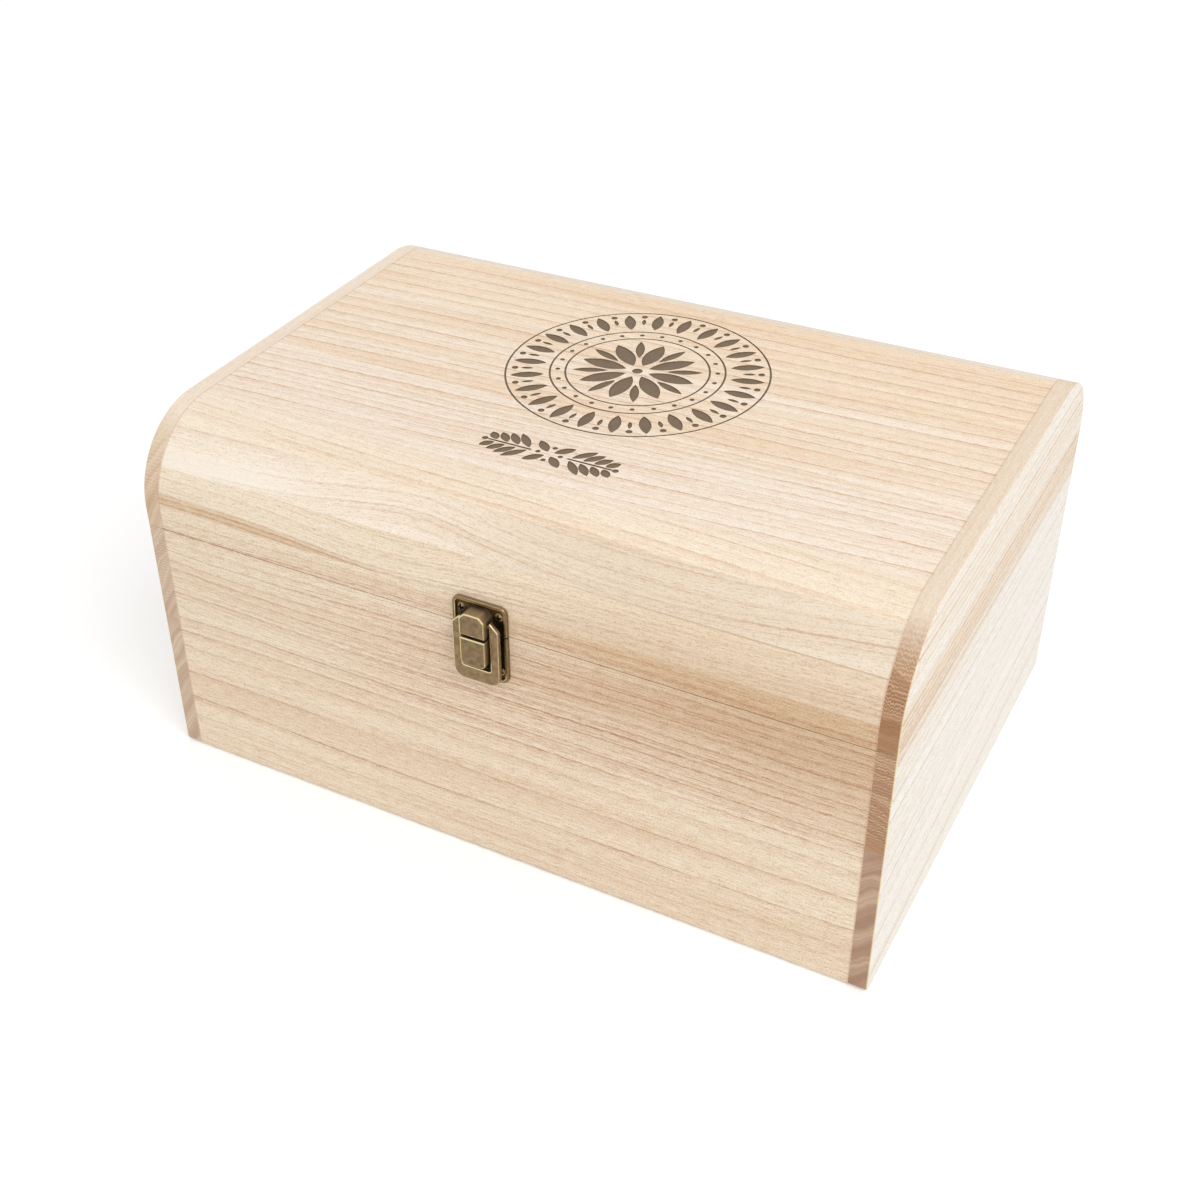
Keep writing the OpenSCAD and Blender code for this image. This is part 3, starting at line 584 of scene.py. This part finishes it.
def carried_outwards(corners, radii, profile):
    """Surface P(t, j) = the outline at inset(j), at the height out(j), closed by the first
    and the last row. The profile gives inset, height and wear for each row."""
    rows = [rounded(corners, radii, inset) for inset, _, _ in profile]
    count, rings = len(rows[0]), len(profile)
    out = np.repeat([height for _, height, _ in profile], count)
    i = np.arange(count)
    after = (i + 1) % count
    faces = []
    for j in range(rings - 1):
        low, high = j * count, (j + 1) * count
        faces += np.stack([low + i, low + after, high + after, high + i], 1).tolist()
    faces += [list(range(count))[::-1], list(range((rings - 1) * count, rings * count))]
    worn = np.repeat([wear for _, _, wear in profile], count)
    return np.column_stack([np.concatenate(rows), out]), faces, worn


def on_front(grid):
    """From millimetres across, up and out of the wood to metres in the model's frame."""
    across, up, out = grid.T / 1000
    return np.stack([clasp_x + across, front_y - out, lid_line + up], 1)


def edge_round(out, radius):
    """Rows of inset, height and wear: a quarter round, radius * (1 - cos a) inwards and
    out - radius * (1 - sin a) high, brightest at its top, and the flat beside it."""
    turn = np.linspace(0, math.pi / 2, 5)
    rows = [
        (radius * (1 - math.cos(a)), out - radius * (1 - math.sin(a)), math.sin(a))
        for a in turn
    ]
    return rows + [(radius * 1.25, out, 0.7), (radius * 1.9, out, 0.0)]


def bronze(name, hollow, face, bright):
    """Plated metal: the face colour with dark clouds and specks, brass where it is worn, more
    so where it faces up as a painted highlight, and dirt where the wear is below zero. Walls
    that face up or right are painted paler, a painted highlight streaked like file marks."""
    rough = 0.36
    finish = Finish(name, Metallic=0.92, Roughness=rough)
    x, y, z = finish.place((clasp_x, front_y, lid_line))
    worn = finish.number("ShaderNodeAttribute", {"attribute_name": "worn"}, (), "Fac")
    face_x, face_y, face_z = finish.facing()
    clouds = finish.noise(x / 2.4, y / 2.4, z / 2.4, detail=3)
    specks = finish.noise(x / 0.4, y / 0.4, z / 0.4, detail=2)
    colour = finish.blend(clouds.rise(0.3, 0.75) * 0.6, face, hollow)
    colour = finish.blend(specks.rise(0.5, 0.7) * 0.4, colour, hollow)
    streaks = finish.noise(x / 0.4, y / 6, z / 0.4 + 9, detail=1)
    # Walls facing up or right are painted paler with streaks: a painted highlight, streaked
    # like file marks.
    wall_painted_highlight = (1 - abs(face_y)) * (face_z * 0.8 + 0.35 * face_x + 0.1).limited()
    colour = finish.blend(wall_painted_highlight * (streaks * 0.8 + 0.2), colour, paint(172, 154, 130))
    # The rubbed brass is real wear. Its boost on faces that point up is a painted highlight.
    upward_painted_highlight = (face_z - 0.25 * face_x + 0.4).limited()
    rub_and_highlight = worn * (upward_painted_highlight * 0.75 + 0.35) + (specks - 0.5) * 0.35 + (clouds - 0.5) * 0.3
    colour = finish.blend(rub_and_highlight.rise(0.15, 0.6) * 0.5, colour, paint(150, 108, 74))
    rub_and_highlight = rub_and_highlight.rise(0.38, 0.75)
    colour = finish.blend(rub_and_highlight, colour, bright)
    dirt = (-1.0 * worn).limited() * (0.6 + clouds * 0.6)
    finish.set("Base Color", finish.blend(dirt.limited(), colour, paint(34, 26, 17)))
    finish.set("Roughness", rough + (specks - 0.5) * 0.3 - rub_and_highlight * 0.08)
    finish.bumps(specks * 0.6 + clouds * 0.4, 0.00005)
    return finish


nose_bronze = bronze(
    "nose_bronze", paint(96, 78, 56), paint(150, 128, 97), paint(236, 220, 160))
plate_bronze = bronze(
    "plate_bronze", paint(84, 66, 44), paint(142, 120, 82), paint(226, 204, 144))
ring_bronze = bronze(
    "ring_bronze", paint(102, 82, 54), paint(158, 134, 100), paint(240, 222, 176))

# The nose: a cast block riveted to the upper plate, with its two upper corners cut off.
# The ring's bar turns in it. Its sides stand 6 mm from the clasp's middle.
block_rows = [(0, 0.8, 0.0), (0, 6.6, 0.0)] + edge_round(8.2, 0.55)
verts, faces, worn = carried_outwards(
    [(-6, 0.7), (6, 0.7), (6, 8.8), (3.4, 11.4), (-3.4, 11.4), (-6, 8.8)],
    [0.5, 0.5, 1.4, 1.4, 1.4, 1.4], block_rows)
metal_piece("nose", on_front(verts), faces, worn, "lid", "clasp_nose", nose_bronze)

# The keeper: a cast block on the lower plate, as wide and as high as the nose, with its two
# lower corners rounded. The ring is pushed over it to hold the lid shut.
verts, faces, worn = carried_outwards(
    [(-6, -14.3), (6, -14.3), (6, -0.7), (-6, -0.7)], [2.6, 2.6, 0.5, 0.5], block_rows)
metal_piece("keeper", on_front(verts), faces, worn, "base", "clasp_keeper", nose_bronze)

# The ring: a flat cast U with a wide lower end for the finger, whose arms hang on a round
# bar through the nose. The outline runs round its outside and back along its inside.
ring_rows = [(0.35, 3.6, 0.3), (0, 3.95, 0.3), (0, 5.1, 0.15)] + edge_round(5.6, 0.42)
verts, faces, worn = carried_outwards(
    [(-10.9, -23.4), (10.9, -23.4), (10.9, 4.1), (6.7, 8.3), (6.7, -16.7), (-6.7, -16.7),
     (-6.7, 8.3), (-10.9, 4.1)],
    [4.9, 4.9, 1.4, 0.35, 1.0, 1.0, 0.35, 1.4], ring_rows)

# The bar's points: its middle line, plus its radius times (sin t, cos t), at both its ends.
bar_end, bar_up, bar_out, bar_radius, sides = 7.2, 5.7, 4.6, 0.95, 24
turn = np.linspace(0, 2 * math.pi, sides, endpoint=False)
bar = np.stack([
    np.broadcast_to([[-bar_end], [bar_end]], (2, sides)),
    np.broadcast_to(bar_up + bar_radius * np.sin(turn), (2, sides)),
    np.broadcast_to(bar_out + bar_radius * np.cos(turn), (2, sides))], 2).reshape(-1, 3)
i = np.arange(sides)
after = (i + 1) % sides
bar_faces = np.stack([i, after, after + sides, i + sides], 1) + len(verts)
bar_caps = np.stack([i, i + sides]) + len(verts)
metal_piece(
    "ring", on_front(np.concatenate([verts, bar])),
    faces + bar_faces.tolist() + bar_caps.tolist(),
    np.concatenate([worn, np.full(2 * sides, 0.2)]), "latch_ring", "clasp_ring", ring_bronze)



# The two plates: pressed from sheet, with a raised rim on the three sides away from the saw
# cut, and screwed to the lid and to the base. The rims are rubbed, the floors hold dirt.
def pressed_plate(far, sign):
    """Surface P(t, j) = the outline at t, moved inwards by inset(j), at the height out(j).
    The outline starts at the saw cut on one side, runs round the far end and back, and its
    rows climb the rim and drop inside it. Sign is 1 above the cut and -1 below it."""
    near, half, corner = 0.35, 12.75, 3.5
    turn = np.linspace(0, math.pi / 2, 9)
    right = np.stack([half - corner + corner * np.cos(turn),
                      far - corner + corner * np.sin(turn)], 1)
    left = right[::-1] * [-1, 1]
    points = np.concatenate([[(half, near)], right, left, [(-half, near)]])
    inward_right = -np.stack([np.cos(turn), np.sin(turn)], 1)
    inward = np.concatenate([[(-1, 0)], inward_right, inward_right[::-1] * [-1, 1], [(1, 0)]])
    rows = [(0, 0, 0.0), (0, 1.2, 0.15)]
    rows += [(0.5 * (1 - math.cos(a)), 1.7 - 0.5 * (1 - math.sin(a)), 0.45)
             for a in np.linspace(0.3, math.pi / 2, 4)]
    rows += [(0.95, 1.7, 0.7)]
    rows += [(1.15 + 0.4 * math.sin(a), 1.7 - 0.4 * (1 - math.cos(a)), 1.0)
             for a in np.linspace(0, math.pi / 2, 4)]
    rows += [(1.6, 0.95, -0.5), (1.75, 0.8, -0.8), (2.4, 0.8, -0.8)]
    grid = np.concatenate([
        np.column_stack([points + inset * inward, np.full(len(points), out)])
        for inset, out, _ in rows])
    count, rings = len(points), len(rows)
    i = np.arange(count - 1)
    faces = []
    for j in range(rings - 1):
        low, high = j * count, (j + 1) * count
        faces += np.stack([low + i, low + i + 1, high + i + 1, high + i], 1).tolist()
    faces.append(list(range(count))[::-1])
    faces.append(list(range((rings - 1) * count, rings * count)))
    first = [j * count for j in range(rings)]
    last = [j * count + count - 1 for j in range(rings)]
    faces.append(first + last[::-1])
    grid[:, 1] *= sign
    return grid, faces, np.repeat([wear for _, _, wear in rows], count)


verts, faces, worn = pressed_plate(14.0, 1)
metal_piece(
    "upper_plate", on_front(verts), faces, worn, "lid", "clasp_lid_plate", plate_bronze)
verts, faces, worn = pressed_plate(23.7, -1)
metal_piece(
    "lower_plate", on_front(verts), faces, worn, "base", "clasp_base_plate", plate_bronze)

# The clasp's screws: four small domed wood screws, coppery, in the plates' outer corners.
# The crosses in their heads are painted near black: painted shade in the recesses.
screw_x, upper_screws, lower_screws = 8.85, 8.8, -18.5
clasp_screws = Finish("clasp_screw_bronze", Metallic=0.85, Roughness=0.38)
x, y, z = clasp_screws.place((clasp_x, front_y, lid_line))
from_axis = abs(abs(x) - screw_x)
height = abs((z - upper_screws).most(lower_screws - z))
spread = (from_axis * from_axis + height * height) ** 0.5
out = 0 - y
# The deep part of each cross and its arms are painted near black: painted shade in the recess.
sunk = out.rise(1.3, 1.22) * spread.rise(1.42, 1.3)
cross_painted_shade = from_axis.rise(0.5, 0.34).most(height.rise(0.5, 0.34)) * spread.rise(1.6, 1.4)
specks = clasp_screws.noise(x / 0.5, y / 0.5, z / 0.5, detail=2)
shade = clasp_screws.blend(specks.rise(0.4, 0.62), paint(138, 108, 74), paint(188, 154, 108))
shade = clasp_screws.blend(spread.rise(1.5, 1.95) * 0.6, shade, paint(104, 80, 56))
shade = clasp_screws.blend(sunk.most(cross_painted_shade), shade, paint(26, 19, 13))
clasp_screws.set("Base Color", shade)
clasp_screws.set("Roughness", 0.36 + (specks - 0.5) * 0.2)
clasp_screws.give("clasp_lid_screws", "clasp_base_screws")


# The two hinges at the back: bent sheet leaves with rolled knuckles, a steel pin and domed
# screws, all plated like the clasp.
hinge_bronze = Finish("hinge_bronze", Metallic=0.9, Roughness=0.38)
x, y, z = hinge_bronze.place((0.0, back_y, lid_line))
clouds = hinge_bronze.noise(x / 4, y / 4, z / 4, detail=3)
specks = hinge_bronze.noise(x / 0.5, y / 0.5, z / 0.5, detail=2)
shade = hinge_bronze.blend(clouds.rise(0.38, 0.66), paint(148, 128, 92), paint(104, 88, 62))
knuckle = y.rise(2.6, 4.6)
shade = hinge_bronze.blend(
    (knuckle * 0.7 + (specks - 0.5)).limited(), shade, paint(206, 184, 134))
hinge_bronze.set("Base Color", shade)
hinge_bronze.set("Roughness", 0.36 + (specks - 0.5) * 0.3)
hinge_bronze.bumps(specks, 0.00004)
hinge_bronze.give(
    "left_hinge_base_leaf", "left_hinge_lid_leaf", "right_hinge_base_leaf",
    "right_hinge_lid_leaf", "left_hinge_pin", "right_hinge_pin")

# The hinges' screws: domed like the clasp's, two in each leaf.
hinge_x, screw_x, screw_z = 108, 10.8, 5.8
hinge_screws = Finish("hinge_screw_bronze", Metallic=0.85, Roughness=0.38)
x, y, z = hinge_screws.place((0.0, back_y, lid_line))
from_axis = abs(abs(abs(x) - hinge_x) - screw_x)
height = abs(abs(z) - screw_z)
spread = (from_axis * from_axis + height * height) ** 0.5
# The recesses in their heads are painted near black by depth: painted shade.
sunk = y.rise(1.7, 1.62) * y.rise(0.2, 0.3) * spread.rise(1.42, 1.3)
specks = hinge_screws.noise(x / 0.5, y / 0.5, z / 0.5, detail=2)
shade = hinge_screws.blend(specks.rise(0.4, 0.62), paint(134, 104, 74), paint(170, 134, 98))
hinge_screws.set("Base Color", hinge_screws.blend(sunk, shade, paint(30, 22, 16)))
hinge_screws.set("Roughness", 0.36 + (specks - 0.5) * 0.2)
hinge_screws.give("hinge_base_screws", "hinge_lid_screws")


# The floor: a wide, plain, nearly white sheet of studio paper, a hair below the resting
# plane. To the camera it glows a little, more so far away, so that it ends in plain white.
floor_half, floor_z = 8.0, -0.0002
floor_mesh = bpy.data.meshes.new("floor")
floor_mesh.from_pydata(
    [(floor_half * side, floor_half * depth, floor_z)
     for side, depth in [(-1, -1), (1, -1), (1, 1), (-1, 1)]], [], [(0, 1, 2, 3)])
floor = bpy.data.objects.new("floor", floor_mesh)
bpy.context.scene.collection.objects.link(floor)
paper = Finish("studio_paper", Roughness=0.9, Specular_IOR_Level=0.0)
paper.shader.inputs["Emission Strength"].default_value = 0.26
x, y, _ = paper.place()
far = ((x * x + y * y) ** 0.5).rise(500, 2600)
to_camera = paper.number("ShaderNodeLightPath", {}, (), "Is Camera Ray")
paper.set("Emission Color", to_camera * (0.54 + far * 0.46))
paper_tone = paper.noise(x / 300, y / 300, 1.0, detail=1)
paper.set("Base Color", paper.blend(paper_tone, paint(250, 250, 250), paint(253, 253, 253)))
paper.give(floor)


# The light: an even white surround that reads as plain white behind the box, and one large
# soft lamp high on the right, so the right side and the top come out lightest.
surround = bpy.data.worlds.new("surround")
bpy.context.scene.world = surround
surround.use_nodes = True
wires = surround.node_tree
sky = wires.nodes["Background"]
sky.inputs["Color"].default_value = (1.0, 1.0, 1.0, 1.0)
ray = wires.nodes.new("ShaderNodeLightPath")
seen = wires.nodes.new("ShaderNodeMath")
seen.operation = "MAXIMUM"
wires.links.new(ray.outputs["Is Camera Ray"], seen.inputs[0])
wires.links.new(ray.outputs["Is Glossy Ray"], seen.inputs[1])
strength = wires.nodes.new("ShaderNodeMapRange")
strength.inputs["To Min"].default_value = 0.78
strength.inputs["To Max"].default_value = 1.0
wires.links.new(seen.outputs[0], strength.inputs["Value"])
wires.links.new(strength.outputs[0], sky.inputs["Strength"])

lamp_light = bpy.data.lights.new("soft_lamp", "AREA")
lamp_light.shape = "DISK"
lamp_light.size = 1.6
lamp_light.energy = 24.0
lamp = bpy.data.objects.new("soft_lamp", lamp_light)
bpy.context.scene.collection.objects.link(lamp)
lamp.location = (1.5, -0.9, 2.0)
lamp.rotation_euler = (
    Vector((0.0, 0.0, 0.08)) - lamp.location).to_track_quat("-Z", "Y").to_euler()


# The camera: in front, to the right and above, close enough for a strong perspective. Its
# place, turn and lens come from fitting the box's corners and seams to the photograph.
photo_side = 1200
focal_pixels, middle_x, middle_y = 1681.03, 520.0, 620.04
# In degrees: how far round it stands and how far up it looks down from, and its tip.
round_to_right, climb, tip = 30.5698, 35.648, -1.9733
lens = bpy.data.cameras.new("camera")
lens.sensor_width = 36.0
lens.lens = lens.sensor_width * focal_pixels / photo_side
lens.shift_x = (photo_side / 2 - middle_x) / photo_side
lens.shift_y = (middle_y - photo_side / 2) / photo_side
lens.clip_start, lens.clip_end = 0.01, 30.0
camera = bpy.data.objects.new("camera", lens)
bpy.context.scene.collection.objects.link(camera)
bpy.context.scene.camera = camera
camera.matrix_world = (
    Matrix.Translation((0.29461, front_y - 0.46956, 0.52648))
    @ Matrix.Rotation(math.radians(round_to_right), 4, "Z")
    @ Matrix.Rotation(math.radians(90 - climb), 4, "X")
    @ Matrix.Rotation(math.radians(tip), 4, "Z"))

bpy.context.scene.view_settings.view_transform = "Standard"
